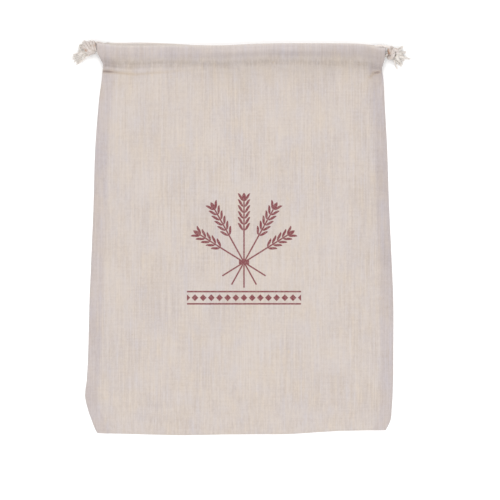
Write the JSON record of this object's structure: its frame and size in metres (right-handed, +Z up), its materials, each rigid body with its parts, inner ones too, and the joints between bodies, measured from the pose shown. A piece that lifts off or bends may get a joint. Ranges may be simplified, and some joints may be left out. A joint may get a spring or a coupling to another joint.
{
  "type": "drawstring bread bag",
  "caption": "Flat cotton bread bag lying empty, closed at sides and bottom, with a hemmed mouth and two drawcords knotted at its corners.",
  "frame": {"origin": "on the flat underside, under the middle of the bag", "axes": "+Z up from the surface the bag lies on, +Y from the bottom fold to the mouth, +X to the right seen from above"},
  "size_m": [0.3453, 0.4013, 0.0162],
  "materials": {
    "cotton_cloth": "unbleached plain-woven cotton, matte, slubby, with a wine-red print in the middle",
    "cotton_cord": "twisted natural cotton cord, matte, frayed at its ends"
  },
  "bodies": {
    "root": {"bag_cloth": "cotton_cloth", "drawcord_left": "cotton_cord", "drawcord_right": "cotton_cord", "knot_left": "cotton_cord", "knot_right": "cotton_cord"}
  },
  "joints": []
}
